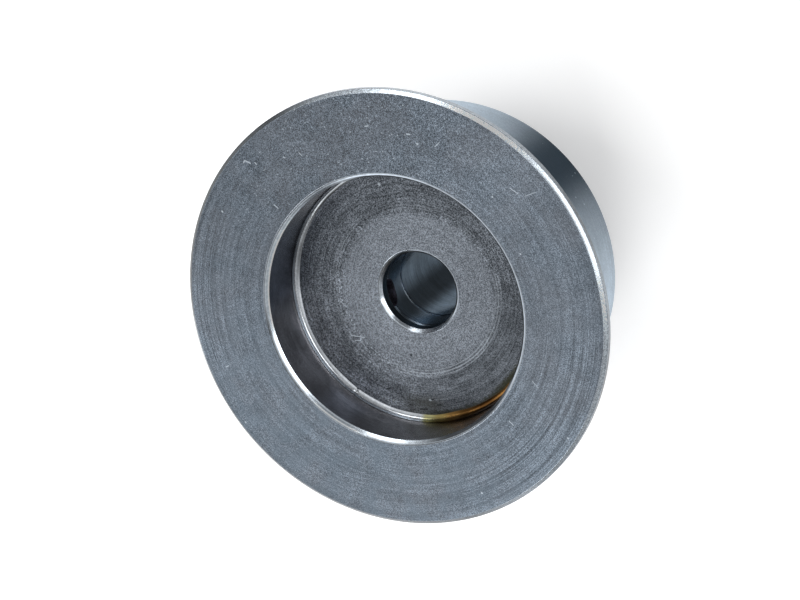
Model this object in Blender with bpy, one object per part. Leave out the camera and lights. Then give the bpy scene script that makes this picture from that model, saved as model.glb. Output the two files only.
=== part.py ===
"""Timing belt idler pulley.

A flanged steel shell carries the belt and turns on a sealed ball bearing. A hub of three pieces is
clamped by the bolt: a front disc that closes the recess, a front bush and a rear hub that fill the
inner ring from both ends. The axis is +Z, the rear seat lies at z = 0 and the flange looks up.
"""

from math import asin, atan2, cos, pi, radians, sin, sqrt, tan

import bmesh
import bpy
from mathutils import Matrix, Vector

MM = 0.001

# Fits between pieces
SEAT_GAP = 0.2 * MM
RUNNING_GAP = 0.25 * MM
BALL_GAP = 0.2 * MM
EDGE_BREAK = 0.2 * MM

# Shell: flange, belt drum and recess
FLANGE_DIAMETER = 60.0 * MM
FLANGE_RIM_THICKNESS = 1.5 * MM
FLANGE_BACK_ANGLE = radians(5.0)
FLANGE_FRONT_CHAMFER = 0.5 * MM
FLANGE_REAR_CHAMFER = 0.25 * MM
FLANGE_ROOT_FILLET = 0.8 * MM
DRUM_DIAMETER = 45.8 * MM
DRUM_REAR_CHAMFER = 0.5 * MM
SHELL_LENGTH = 23.2 * MM
RECESS_DIAMETER = 36.4 * MM
RECESS_DEPTH = 8.6 * MM
RECESS_LIP_CHAMFER = 0.6 * MM
SHOULDER_THICKNESS = 0.8 * MM
SHOULDER_HEIGHT = 1.9 * MM
SEAT_MOUTH_CHAMFER = 0.5 * MM

# Hub: front disc, front bush and rear hub on one bolt hole
BOLT_HOLE_DIAMETER = 10.74 * MM
BOLT_HOLE_CHAMFER = 0.5 * MM
DISC_THICKNESS = 2.1 * MM
COLLAR_DIAMETER = 20.4 * MM
FRONT_COLLAR_THICKNESS = 1.0 * MM
FRONT_BUSH_LENGTH = 4.2 * MM
REAR_COLLAR_HEIGHT = 6.7 * MM
REAR_COLLAR_CHAMFER = 0.5 * MM
NOTCH_RADIUS = 2.15 * MM
NOTCH_AZIMUTH = radians(66.5)

# Deep groove ball bearing
BEARING_BORE = 15.0 * MM
BEARING_OUTSIDE = 35.0 * MM
BEARING_WIDTH = 11.0 * MM
RING_CHAMFER = 0.5 * MM
BALL_DIAMETER = 5.95 * MM
BALL_COUNT = 8
RACE_DEPTH = 1.4 * MM
SEAL_THICKNESS = 0.8 * MM
SEAL_WEB_THICKNESS = 0.5 * MM
SEAL_LIP_WIDTH = 0.8 * MM
SEAL_INSET = 0.2 * MM
SEAL_GROOVE_HEIGHT = 0.9 * MM
SEAL_LAND_STEP = 0.5 * MM
CAGE_CLEARANCE = 0.6 * MM
CAGE_SHEET = 0.45 * MM
RIVET_DIAMETER = 1.0 * MM
RIVET_HEAD_DIAMETER = 1.8 * MM
RIVET_HEAD_HEIGHT = 0.4 * MM

# Facets round each kind of turned piece
SHELL_FACETS = 72
HUB_FACETS = 48
RING_FACETS = 48
BALL_FACETS = 14
RIVET_FACETS = 8
NOTCH_FACETS = 20
POCKET_STEPS = 8
SHARP_ANGLE = radians(30.0)

# Radii that follow from the diameters
flange_radius = FLANGE_DIAMETER / 2
drum_radius = DRUM_DIAMETER / 2
recess_radius = RECESS_DIAMETER / 2
bolt_hole_radius = BOLT_HOLE_DIAMETER / 2
collar_radius = COLLAR_DIAMETER / 2
disc_radius = recess_radius - RUNNING_GAP
ring_outer_radius = BEARING_OUTSIDE / 2
ring_inner_radius = BEARING_BORE / 2
seat_radius = ring_outer_radius + SEAT_GAP
spigot_radius = ring_inner_radius - SEAT_GAP

# Raceways, shoulders and seal seats of the bearing
ball_radius = BALL_DIAMETER / 2
pitch_radius = (ring_outer_radius + ring_inner_radius) / 2
groove_radius = ball_radius + BALL_GAP
groove_half_width = sqrt(groove_radius**2 - (groove_radius - RACE_DEPTH)**2)
inner_shoulder_radius = pitch_radius - groove_radius + RACE_DEPTH
outer_shoulder_radius = pitch_radius + groove_radius - RACE_DEPTH
seal_land_radius = inner_shoulder_radius - SEAL_LAND_STEP
seal_groove_radius = outer_shoulder_radius + SEAL_GROOVE_HEIGHT
seal_step_height = BEARING_WIDTH / 2 - SEAL_INSET - SEAL_THICKNESS - SEAT_GAP

# Heights of the stack, from the rear seat up to the flange face
bearing_rear_z = REAR_COLLAR_HEIGHT + SEAT_GAP
bearing_front_z = bearing_rear_z + BEARING_WIDTH
bearing_middle_z = (bearing_rear_z + bearing_front_z) / 2
front_collar_z = bearing_front_z + SEAT_GAP
bush_front_z = front_collar_z + FRONT_COLLAR_THICKNESS
bush_rear_z = bush_front_z - FRONT_BUSH_LENGTH
hub_front_z = bush_rear_z - SEAT_GAP
disc_rear_z = bush_front_z + SEAT_GAP
disc_front_z = disc_rear_z + DISC_THICKNESS
flange_front_z = disc_front_z + RECESS_DEPTH
shell_rear_z = flange_front_z - SHELL_LENGTH
shoulder_rear_z = bearing_front_z + SEAT_GAP


def clear_scene():
    """Remove whatever the scene holds at the start."""
    for obj in list(bpy.data.objects):
        bpy.data.objects.remove(obj, do_unlink=True)


def make_material(name, color, roughness, metallic):
    """A Principled material with one plain finish."""
    material = bpy.data.materials.new(name)
    material.use_nodes = True
    shader = material.node_tree.nodes["Principled BSDF"]
    shader.inputs["Base Color"].default_value = (*color, 1.0)
    shader.inputs["Roughness"].default_value = roughness
    shader.inputs["Metallic"].default_value = metallic
    material.diffuse_color = (*color, 1.0)
    return material


def add_object(name, bm, material, height=0.0):
    """Turn a bmesh into a smooth-shaded object standing at a height on the axis."""
    bmesh.ops.recalc_face_normals(bm, faces=bm.faces)
    mesh = bpy.data.meshes.new(name)
    bm.to_mesh(mesh)
    bm.free()
    mesh.shade_smooth()
    mesh.set_sharp_from_angle(angle=SHARP_ANGLE)
    obj = bpy.data.objects.new(name, mesh)
    obj.location = (0.0, 0.0, height)
    bpy.context.collection.objects.link(obj)
    if material is not None:
        mesh.materials.append(material)
    return obj


def arc(center, radius, start, end, steps):
    """Points of a circular arc in the (radius, height) plane."""
    angles = [start + (end - start) * i / steps for i in range(steps + 1)]
    return [(center[0] + radius * cos(a), center[1] + radius * sin(a)) for a in angles]


def spin_profile(outline, facets, closed=True):
    """Spin a (radius, height) outline once round the axis."""
    bm = bmesh.new()
    verts = [bm.verts.new((r, 0.0, z)) for r, z in outline]
    pairs = list(zip(verts, verts[1:]))
    if closed:
        pairs.append((verts[-1], verts[0]))
    edges = [bm.edges.new(pair) for pair in pairs]
    bmesh.ops.spin(bm, geom=verts + edges, cent=(0, 0, 0), axis=(0, 0, 1), dvec=(0, 0, 0),
                   angle=2 * pi, steps=facets, use_merge=True, use_duplicate=False)
    bmesh.ops.remove_doubles(bm, verts=bm.verts, dist=0.001 * MM)
    return bm


def add_cutter(name, bm):
    """A hidden body that only cuts others."""
    cutter = add_object(name, bm, None)
    cutter.hide_render = True
    cutter.display_type = "WIRE"
    return cutter


def cut(obj, cutter):
    """Cut one object with another, and keep the cut as a modifier."""
    modifier = obj.modifiers.new("cut_" + cutter.name, "BOOLEAN")
    modifier.operation = "DIFFERENCE"
    modifier.solver = "EXACT"
    modifier.object = cutter


def pulley_shell(material):
    """Flange, belt drum, recess and bearing seat, turned as one piece."""
    def height(z):
        return z - shell_rear_z

    rim_back = SHELL_LENGTH - FLANGE_RIM_THICKNESS
    root_back = rim_back - (flange_radius - drum_radius) * tan(FLANGE_BACK_ANGLE)
    fillet = FLANGE_ROOT_FILLET
    fillet_center = (drum_radius + fillet,
                     root_back + fillet * tan(FLANGE_BACK_ANGLE) - fillet / cos(FLANGE_BACK_ANGLE))
    shoulder_radius = seat_radius - SHOULDER_HEIGHT
    rear_chamfer_rise = FLANGE_REAR_CHAMFER * tan(FLANGE_BACK_ANGLE)
    outline = [
        (seat_radius + SEAT_MOUTH_CHAMFER, 0.0),
        (drum_radius - DRUM_REAR_CHAMFER, 0.0),
        (drum_radius, DRUM_REAR_CHAMFER),
    ]
    outline += arc(fillet_center, fillet, pi, pi / 2 + FLANGE_BACK_ANGLE, 4)
    outline += [
        (flange_radius - FLANGE_REAR_CHAMFER, rim_back - rear_chamfer_rise),
        (flange_radius, rim_back + FLANGE_REAR_CHAMFER),
        (flange_radius, SHELL_LENGTH - FLANGE_FRONT_CHAMFER),
        (flange_radius - FLANGE_FRONT_CHAMFER, SHELL_LENGTH),
        (recess_radius + RECESS_LIP_CHAMFER, SHELL_LENGTH),
        (recess_radius, SHELL_LENGTH - RECESS_LIP_CHAMFER),
        (recess_radius, height(shoulder_rear_z + SHOULDER_THICKNESS)),
        (shoulder_radius, height(shoulder_rear_z + SHOULDER_THICKNESS)),
        (shoulder_radius, height(shoulder_rear_z)),
        (seat_radius, height(shoulder_rear_z)),
        (seat_radius, SEAT_MOUTH_CHAMFER),
    ]
    return add_object("pulley_shell", spin_profile(outline, SHELL_FACETS), material, shell_rear_z)


def front_disc(material):
    """Flat disc that closes the recess round the bolt hole and takes the bolt's head."""
    outline = [
        (bolt_hole_radius + EDGE_BREAK, 0.0),
        (disc_radius - EDGE_BREAK, 0.0),
        (disc_radius, EDGE_BREAK),
        (disc_radius, DISC_THICKNESS - EDGE_BREAK),
        (disc_radius - EDGE_BREAK, DISC_THICKNESS),
        (bolt_hole_radius + BOLT_HOLE_CHAMFER, DISC_THICKNESS),
        (bolt_hole_radius, DISC_THICKNESS - BOLT_HOLE_CHAMFER),
        (bolt_hole_radius, EDGE_BREAK),
    ]
    return add_object("front_disc", spin_profile(outline, SHELL_FACETS), material, disc_rear_z)


def front_bush(material):
    """Collared bush under the disc, with a half-round notch across its front face."""
    collar_foot = FRONT_BUSH_LENGTH - FRONT_COLLAR_THICKNESS
    outline = [
        (bolt_hole_radius + EDGE_BREAK, 0.0),
        (spigot_radius - EDGE_BREAK, 0.0),
        (spigot_radius, EDGE_BREAK),
        (spigot_radius, collar_foot),
        (collar_radius, collar_foot),
        (collar_radius, FRONT_BUSH_LENGTH - EDGE_BREAK),
        (collar_radius - EDGE_BREAK, FRONT_BUSH_LENGTH),
        (bolt_hole_radius + EDGE_BREAK, FRONT_BUSH_LENGTH),
        (bolt_hole_radius, FRONT_BUSH_LENGTH - EDGE_BREAK),
        (bolt_hole_radius, EDGE_BREAK),
    ]
    bush = add_object("front_bush", spin_profile(outline, HUB_FACETS), material, bush_rear_z)
    cut(bush, notch_cutter())
    return bush


def notch_cutter():
    """Round cutter that lies across the bush's front face and leaves half of itself there."""
    inner_end = bolt_hole_radius - NOTCH_RADIUS
    outer_end = collar_radius + NOTCH_RADIUS
    bm = bmesh.new()
    bmesh.ops.create_cone(bm, cap_ends=True, segments=NOTCH_FACETS, radius1=NOTCH_RADIUS,
                          radius2=NOTCH_RADIUS, depth=outer_end - inner_end)
    direction = Vector((cos(NOTCH_AZIMUTH), sin(NOTCH_AZIMUTH), 0.0))
    turn = Vector((0.0, 0.0, 1.0)).rotation_difference(direction).to_matrix().to_4x4()
    place = direction * (inner_end + outer_end) / 2 + Vector((0.0, 0.0, bush_front_z))
    bmesh.ops.transform(bm, matrix=Matrix.Translation(place) @ turn, verts=bm.verts)
    return add_cutter("notch_cutter", bm)


def rear_hub(material):
    """Rear hub: spigot through the inner ring, collar behind it and the seat on the engine."""
    outline = [
        (bolt_hole_radius + BOLT_HOLE_CHAMFER, 0.0),
        (collar_radius - REAR_COLLAR_CHAMFER, 0.0),
        (collar_radius, REAR_COLLAR_CHAMFER),
        (collar_radius, REAR_COLLAR_HEIGHT - EDGE_BREAK),
        (collar_radius - EDGE_BREAK, REAR_COLLAR_HEIGHT),
        (spigot_radius, REAR_COLLAR_HEIGHT),
        (spigot_radius, hub_front_z - EDGE_BREAK),
        (spigot_radius - EDGE_BREAK, hub_front_z),
        (bolt_hole_radius + EDGE_BREAK, hub_front_z),
        (bolt_hole_radius, hub_front_z - EDGE_BREAK),
        (bolt_hole_radius, BOLT_HOLE_CHAMFER),
    ]
    return add_object("rear_hub", spin_profile(outline, HUB_FACETS), material)


def bearing_outer_ring(material):
    """Outer ring with its raceway and a seal groove at each face."""
    half = BEARING_WIDTH / 2
    edge = atan2(groove_half_width, groove_radius - RACE_DEPTH)
    outline = [
        (ring_outer_radius - RING_CHAMFER, -half),
        (ring_outer_radius, -half + RING_CHAMFER),
        (ring_outer_radius, half - RING_CHAMFER),
        (ring_outer_radius - RING_CHAMFER, half),
        (seal_groove_radius, half),
        (seal_groove_radius, seal_step_height),
        (outer_shoulder_radius, seal_step_height),
    ]
    outline += arc((pitch_radius, 0.0), groove_radius, edge, -edge, 6)
    outline += [
        (outer_shoulder_radius, -seal_step_height),
        (seal_groove_radius, -seal_step_height),
        (seal_groove_radius, -half),
    ]
    return add_object("bearing_outer_ring", spin_profile(outline, RING_FACETS), material, bearing_middle_z)


def bearing_inner_ring(material):
    """Inner ring with its raceway and a stepped land for each seal's lip."""
    half = BEARING_WIDTH / 2
    edge = atan2(groove_half_width, groove_radius - RACE_DEPTH)
    outline = [
        (ring_inner_radius + RING_CHAMFER, -half),
        (seal_land_radius, -half),
        (seal_land_radius, -seal_step_height),
        (inner_shoulder_radius, -seal_step_height),
    ]
    outline += arc((pitch_radius, 0.0), groove_radius, pi + edge, pi - edge, 6)
    outline += [
        (inner_shoulder_radius, seal_step_height),
        (seal_land_radius, seal_step_height),
        (seal_land_radius, half),
        (ring_inner_radius + RING_CHAMFER, half),
        (ring_inner_radius, half - RING_CHAMFER),
        (ring_inner_radius, -half + RING_CHAMFER),
    ]
    return add_object("bearing_inner_ring", spin_profile(outline, RING_FACETS), material, bearing_middle_z)


def seal(name, side, material):
    """Rubber seal snapped in the outer ring, its lip running round the inner ring's land."""
    inner = seal_land_radius + SEAT_GAP
    outer = seal_groove_radius - SEAT_GAP
    web_side = SEAL_THICKNESS - SEAL_WEB_THICKNESS
    outline = [
        (inner, 0.0),
        (inner + SEAL_LIP_WIDTH, 0.0),
        (inner + SEAL_LIP_WIDTH, web_side),
        (outer - SEAL_LIP_WIDTH, web_side),
        (outer - SEAL_LIP_WIDTH, 0.0),
        (outer, 0.0),
        (outer, SEAL_THICKNESS),
        (inner, SEAL_THICKNESS),
    ]
    foot = BEARING_WIDTH / 2 - SEAL_INSET - SEAL_THICKNESS
    mirrored = [(r, side * (foot + z)) for r, z in outline]
    return add_object(name, spin_profile(mirrored, RING_FACETS), material, bearing_middle_z)


def ball_angle(index):
    """Azimuth of a ball's centre."""
    return 2 * pi * index / BALL_COUNT


def rivet_angle(index):
    """Azimuth of a rivet, midway between two balls."""
    return ball_angle(index + 0.5)


def add_balls(material):
    """The balls, each with its origin at its own centre."""
    for index in range(BALL_COUNT):
        bm = bmesh.new()
        bmesh.ops.create_uvsphere(bm, u_segments=BALL_FACETS, v_segments=BALL_FACETS // 2,
                                  radius=ball_radius)
        ball = add_object("ball_%d" % (index + 1), bm, material, bearing_middle_z)
        ball.location.x = pitch_radius * cos(ball_angle(index))
        ball.location.y = pitch_radius * sin(ball_angle(index))


def pocket_stations():
    """Offsets along one pocket, with the height of the sheet's two faces at each."""
    inner_bend = ball_radius + BALL_GAP
    outer_bend = inner_bend + CAGE_SHEET
    flat_inner = SEAT_GAP / 2
    flat_outer = flat_inner + CAGE_SHEET
    foot = sqrt(outer_bend**2 - flat_outer**2)
    turns = [-pi / 2 + pi * i / POCKET_STEPS for i in range(POCKET_STEPS + 1)]
    offsets = [-foot] + [inner_bend * sin(turn) for turn in turns] + [foot]
    stations = []
    for offset in offsets:
        inner_height = max(flat_inner, sqrt(max(0.0, inner_bend**2 - offset**2)))
        outer_height = max(flat_outer, sqrt(max(0.0, outer_bend**2 - offset**2)))
        stations.append((offset, inner_height, outer_height))
    return stations


def cage_half(name, side, cutter, material):
    """One pressed half of the ribbon cage, bent round each ball and flat between them."""
    inner_edge = inner_shoulder_radius + CAGE_CLEARANCE
    outer_edge = outer_shoulder_radius - CAGE_CLEARANCE
    bm = bmesh.new()
    sections = []
    for index in range(BALL_COUNT):
        for offset, inner_height, outer_height in pocket_stations():
            angle = ball_angle(index) + asin(offset / pitch_radius)
            corners = [(inner_edge, inner_height), (outer_edge, inner_height),
                       (outer_edge, outer_height), (inner_edge, outer_height)]
            sections.append([bm.verts.new((r * cos(angle), r * sin(angle), side * z)) for r, z in corners])
    for here, ahead in zip(sections, sections[1:] + sections[:1]):
        for i in range(4):
            j = (i + 1) % 4
            bm.faces.new((here[i], here[j], ahead[j], ahead[i]))
    half = add_object(name, bm, material, bearing_middle_z)
    cut(half, cutter)
    return half


def rivet_hole_cutter():
    """One drill through the cage for each rivet."""
    bm = bmesh.new()
    for index in range(BALL_COUNT):
        angle = rivet_angle(index)
        place = Vector((pitch_radius * cos(angle), pitch_radius * sin(angle), bearing_middle_z))
        bmesh.ops.create_cone(bm, cap_ends=True, segments=RIVET_FACETS, radius1=RIVET_DIAMETER / 2 + SEAT_GAP,
                              radius2=RIVET_DIAMETER / 2 + SEAT_GAP, depth=6 * CAGE_SHEET,
                              matrix=Matrix.Translation(place))
    return add_cutter("rivet_hole_cutter", bm)


def add_rivets(material):
    """The rivets that hold the two halves of the cage together."""
    shank_half = SEAT_GAP / 2 + CAGE_SHEET + SEAT_GAP
    head_top = shank_half + RIVET_HEAD_HEIGHT
    shank = RIVET_DIAMETER / 2
    head = RIVET_HEAD_DIAMETER / 2
    outline = [
        (0.0, -head_top),
        (head, -head_top),
        (head, -shank_half),
        (shank, -shank_half),
        (shank, shank_half),
        (head, shank_half),
        (head, head_top),
        (0.0, head_top),
    ]
    for index in range(BALL_COUNT):
        bm = spin_profile(outline, RIVET_FACETS, closed=False)
        rivet = add_object("cage_rivet_%d" % (index + 1), bm, material, bearing_middle_z)
        rivet.location.x = pitch_radius * cos(rivet_angle(index))
        rivet.location.y = pitch_radius * sin(rivet_angle(index))


def build():
    """Make the whole pulley."""
    clear_scene()
    turned_steel = make_material("turned_steel", (0.16, 0.17, 0.19), 0.38, 1.0)
    bearing_steel = make_material("bearing_steel", (0.42, 0.43, 0.45), 0.18, 1.0)
    cage_steel = make_material("cage_steel", (0.35, 0.35, 0.34), 0.35, 1.0)
    seal_rubber = make_material("seal_rubber", (0.02, 0.02, 0.022), 0.6, 0.0)

    pulley_shell(turned_steel)
    front_disc(turned_steel)
    front_bush(turned_steel)
    rear_hub(turned_steel)
    bearing_outer_ring(bearing_steel)
    bearing_inner_ring(bearing_steel)
    seal("front_seal", 1, seal_rubber)
    seal("rear_seal", -1, seal_rubber)
    holes = rivet_hole_cutter()
    cage_half("cage_front_half", 1, holes, cage_steel)
    cage_half("cage_rear_half", -1, holes, cage_steel)
    add_rivets(cage_steel)
    add_balls(bearing_steel)


build()
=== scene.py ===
"""Timing belt idler pulley: the finish of every piece, laid out as a Blender add-on.

Each turned piece is spun again from the outline of its CAD node, with finer facets and small edge
rounds, and gets the steel, rubber or oil that its surface shows. One operator makes each piece or
group of like pieces, and one sets the stage with its floor, lamps and camera.
"""

from collections import namedtuple
from math import asin, cos, degrees, hypot, pi, radians, sin, sqrt, tan

import bmesh
import bpy
from bpy.props import FloatProperty, FloatVectorProperty, IntProperty, PointerProperty
from mathutils import Matrix, Vector


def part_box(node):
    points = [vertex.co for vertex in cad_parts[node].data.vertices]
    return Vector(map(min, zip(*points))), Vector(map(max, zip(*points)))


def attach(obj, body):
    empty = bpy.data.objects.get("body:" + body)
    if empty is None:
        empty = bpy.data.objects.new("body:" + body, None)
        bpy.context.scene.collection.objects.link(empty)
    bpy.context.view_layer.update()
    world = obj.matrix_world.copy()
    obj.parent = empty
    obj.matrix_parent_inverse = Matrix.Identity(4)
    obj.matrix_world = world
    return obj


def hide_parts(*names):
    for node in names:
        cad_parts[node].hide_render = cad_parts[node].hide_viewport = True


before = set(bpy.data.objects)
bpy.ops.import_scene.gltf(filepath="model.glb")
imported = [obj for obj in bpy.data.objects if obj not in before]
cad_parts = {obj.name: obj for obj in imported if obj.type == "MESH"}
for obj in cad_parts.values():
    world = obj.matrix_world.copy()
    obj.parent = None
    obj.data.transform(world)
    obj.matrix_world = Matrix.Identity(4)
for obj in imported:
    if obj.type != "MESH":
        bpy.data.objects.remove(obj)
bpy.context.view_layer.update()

bl_info = {
    "name": "Timing Belt Idler Pulley",
    "version": (1, 0, 0),
    "blender": (4, 5, 0),
    "location": "View3D > Sidebar > Idler",
    "description": "Finish of a flanged idler pulley: turned steel, sealed bearing, oil film and stage",
    "category": "Object",
}

MM = 0.001
ON_PLANE = 1e-7


def section(node):
    """Outline of a turned CAD node as (radius, height) points, counter-clockwise."""
    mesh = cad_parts[node].data
    place = {}
    for vertex in mesh.vertices:
        if abs(vertex.co.y) < ON_PLANE and vertex.co.x > 0.0:
            place[vertex.index] = (round(vertex.co.x, 6), round(vertex.co.z, 6))
    joined = {}
    for edge in mesh.edges:
        first, second = (place.get(index) for index in edge.vertices)
        if first and second and first != second:
            joined.setdefault(first, set()).add(second)
            joined.setdefault(second, set()).add(first)
    start = min(joined)
    path = [start]
    behind, here = None, start
    while True:
        ahead = min(point for point in joined[here] if point != behind)
        if ahead == start:
            break
        path.append(ahead)
        behind, here = here, ahead
    area = sum(a[0] * b[1] - b[0] * a[1] for a, b in zip(path, path[1:] + path[:1]))
    return path if area > 0 else path[::-1]


# Places that the pieces share, read from the frame
shell_outline = section("pulley_shell")
face_height = max(z for r, z in shell_outline)
rim_radius = max(r for r, z in shell_outline)
disc_outline = section("front_disc")
disc_height = max(z for r, z in disc_outline)
bore_radius = min(r for r, z in disc_outline)
bore_mouth_radius = min(r for r, z in disc_outline if z == disc_height)
recess_radius = min(r for r, z in shell_outline if z > disc_height)
lip_radius = min(r for r, z in shell_outline if z == face_height)
face_radius = max(r for r, z in shell_outline if z == face_height)
bearing_middle = (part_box("bearing_outer_ring")[0].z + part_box("bearing_outer_ring")[1].z) / 2
drum_radius = max(r for r, z in shell_outline if z < bearing_middle)
bush_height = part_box("front_bush")[1].z
hub_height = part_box("rear_hub")[1].z
collar_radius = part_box("front_bush")[1].x
ball_count = len([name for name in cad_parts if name.startswith("ball_")])
pitch_radius = (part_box("ball_1")[0].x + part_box("ball_1")[1].x) / 2


class IdlerForm(bpy.types.PropertyGroup):
    """Sizes that the finish adds to the pieces."""

    edge_round: FloatProperty(
        name="Edge round", description="Radius left on every turned edge",
        default=0.07 * MM, min=0.0, unit="LENGTH", precision=5)
    turned_facets: IntProperty(
        name="Turned facets", description="Facets round the large turned pieces", default=288, min=24)
    ring_facets: IntProperty(
        name="Ring facets", description="Facets round the bearing's rings and seals", default=192, min=24)
    notch_radius: FloatProperty(
        name="Notch radius", description="Radius of the half-round notch in the bush",
        default=1.92 * MM, min=0.0, unit="LENGTH", precision=5)
    notch_azimuth: FloatProperty(
        name="Notch azimuth", description="Direction of the notch round the axis",
        default=radians(66.5), subtype="ANGLE")
    cage_sheet: FloatProperty(
        name="Cage sheet", description="Thickness of the pressed cage",
        default=0.45 * MM, min=0.0, unit="LENGTH", precision=5)
    film_size: FloatProperty(
        name="Oil film size", description="How far the oil film creeps out of the recess's corner",
        default=0.78 * MM, min=0.0, unit="LENGTH", precision=5)
    film_gap: FloatProperty(
        name="Oil film gap", description="Clearance of the oil film from the turning wall",
        default=0.04 * MM, min=0.0, unit="LENGTH", precision=5)
    amber_start: FloatProperty(
        name="Amber start", description="Azimuth where the old amber oil begins",
        default=radians(142.0), subtype="ANGLE")
    amber_end: FloatProperty(
        name="Amber end", description="Azimuth where the old amber oil ends",
        default=radians(206.0), subtype="ANGLE")
    film_nick: FloatProperty(
        name="Film nick", description="Azimuth of the small nick in the oil film",
        default=radians(108.8), subtype="ANGLE")


class IdlerFinish(bpy.types.PropertyGroup):
    """Colours of the finishes, linear."""

    face_colour: FloatVectorProperty(
        name="Face steel", description="Turned flange face", subtype="COLOR",
        default=(0.146, 0.174, 0.208), min=0.0, max=1.0)
    disc_colour: FloatVectorProperty(
        name="Disc steel", description="Bolt seat of the front disc", subtype="COLOR",
        default=(0.182, 0.203, 0.232), min=0.0, max=1.0)
    edge_colour: FloatVectorProperty(
        name="Bright edge", description="Polished chamfers", subtype="COLOR",
        default=(0.745, 0.825, 0.91), min=0.0, max=1.0)
    rim_colour: FloatVectorProperty(
        name="Rim edge", description="Rim and its chamfer, dulled by handling", subtype="COLOR",
        default=(0.55, 0.61, 0.67), min=0.0, max=1.0)
    drum_colour: FloatVectorProperty(
        name="Drum steel", description="Belt drum, polished by the belt", subtype="COLOR",
        default=(0.48, 0.55, 0.62), min=0.0, max=1.0)
    wall_colour: FloatVectorProperty(
        name="Recess wall", description="Fine turned wall of the recess", subtype="COLOR",
        default=(0.275, 0.262, 0.272), min=0.0, max=1.0)
    bore_colour: FloatVectorProperty(
        name="Bore steel", description="Reamed wall of the bolt hole", subtype="COLOR",
        default=(0.185, 0.238, 0.295), min=0.0, max=1.0)
    ground_colour: FloatVectorProperty(
        name="Bearing steel", description="Ground rings and balls", subtype="COLOR",
        default=(0.52, 0.53, 0.55), min=0.0, max=1.0)
    cage_colour: FloatVectorProperty(
        name="Cage steel", description="Pressed cage and rivets", subtype="COLOR",
        default=(0.42, 0.42, 0.40), min=0.0, max=1.0)
    rubber_colour: FloatVectorProperty(
        name="Seal rubber", description="Moulded seals", subtype="COLOR",
        default=(0.022, 0.022, 0.024), min=0.0, max=1.0)
    clear_oil_colour: FloatVectorProperty(
        name="Clear oil", description="Oil film over bright steel", subtype="COLOR",
        default=(0.49, 0.52, 0.555), min=0.0, max=1.0)


class IdlerStage(bpy.types.PropertyGroup):
    """Floor, light and camera."""

    floor_size: FloatProperty(
        name="Floor size", description="Side of the square floor", default=4.0, min=0.1, unit="LENGTH")
    sky_low: FloatProperty(
        name="Sky", description="Brightness of the dome away from its glow", default=0.42, min=0.0)
    sky_high: FloatProperty(
        name="Glow", description="Brightness of the glow high behind the pulley", default=0.8, min=0.0)
    key_lamp: FloatProperty(
        name="Key lamp", description="Power of the near soft box beside the glow",
        default=0.04, min=0.0, unit="POWER")
    rear_lamp: FloatProperty(
        name="Rear lamps", description="Power of each soft box behind the pulley",
        default=4.4, min=0.0, unit="POWER")
    edge_lamp: FloatProperty(
        name="Edge lamps", description="Power of the low soft box that the chamfers mirror",
        default=1.25, min=0.0, unit="POWER")
    camera_elevation: FloatProperty(
        name="Camera elevation", description="Height of the view above the horizon",
        default=radians(60.45), subtype="ANGLE")
    camera_roll: FloatProperty(
        name="Camera roll", description="Turn of the picture about the view",
        default=radians(-126.87), subtype="ANGLE")
    camera_distance: FloatProperty(
        name="Camera distance", description="From the lens to the plane of the face's middle",
        default=443.0 * MM, min=0.0, unit="LENGTH")
    camera_right: FloatProperty(
        name="Face offset right", description="Middle of the face right of the picture's middle",
        default=-0.99 * MM, unit="LENGTH", precision=5)
    camera_down: FloatProperty(
        name="Face offset down", description="Middle of the face below the picture's middle",
        default=1.44 * MM, unit="LENGTH", precision=5)
    camera_lens: FloatProperty(
        name="Lens", description="Focal length on a 36 mm sensor", default=151.56, min=1.0, unit="CAMERA")


def form():
    """Sizes set in the sidebar."""
    return bpy.context.scene.idler_form


def finish():
    """Colours set in the sidebar."""
    return bpy.context.scene.idler_finish


# Outlines and turned meshes

ROUND_STEPS = 4
ROUND_SHARE = 0.42
SUPPORT = 0.12 * MM
FLAT_SPACING = 1.3 * MM
ARC_TURN = radians(35.0)


def rounded(outline, radius):
    """The outline with a small round at each corner, and wider ones where it already follows an arc."""
    points = []
    for before, corner, after in zip(outline[-1:] + outline[:-1], outline, outline[1:] + outline[:1]):
        back = Vector(before) - Vector(corner)
        ahead = Vector(after) - Vector(corner)
        turn = pi - back.angle(ahead)
        reach = ROUND_SHARE * min(back.length, ahead.length)
        if turn > ARC_TURN:
            reach = min(reach, radius * tan(turn / 2))
        first = Vector(corner) + back.normalized() * reach
        last = Vector(corner) + ahead.normalized() * reach
        for step in range(ROUND_STEPS + 1):
            t = step / ROUND_STEPS
            points.append(tuple(first * (1 - t)**2 + Vector(corner) * 2 * t * (1 - t) + last * t**2))
    return points


def supported(outline):
    """The outline with points beside each round and evenly along each flat."""
    points = []
    for here, ahead in zip(outline, outline[1:] + outline[:1]):
        points.append(here)
        run = Vector(ahead) - Vector(here)
        if run.length < 3 * SUPPORT:
            continue
        inside = run.length - 2 * SUPPORT
        count = max(1, round(inside / FLAT_SPACING))
        for step in range(count + 1):
            along = SUPPORT + inside * step / count
            points.append(tuple(Vector(here) + run.normalized() * along))
    return points


def coats(makers):
    """The finishes that the functions make, each made once."""
    return [bpy.data.materials.get(make.__name__) or make() for make in makers]


def add_piece(name, mesh, makers):
    """Link a smooth mesh object that wears the finishes."""
    mesh.validate()
    mesh.shade_smooth()
    for material in coats(makers):
        mesh.materials.append(material)
    obj = bpy.data.objects.new(name, mesh)
    bpy.context.scene.collection.objects.link(obj)
    return obj


def add_solid(name, bm, makers):
    """Link what a bmesh holds as a smooth mesh object, and free the bmesh."""
    mesh = bpy.data.meshes.new(name)
    bm.to_mesh(mesh)
    bm.free()
    return add_piece(name, mesh, makers)


def round_axis(outline, angle):
    """The points of an outline at an angle round the axis."""
    return [(r * cos(angle), r * sin(angle), z) for r, z in outline]


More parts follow.
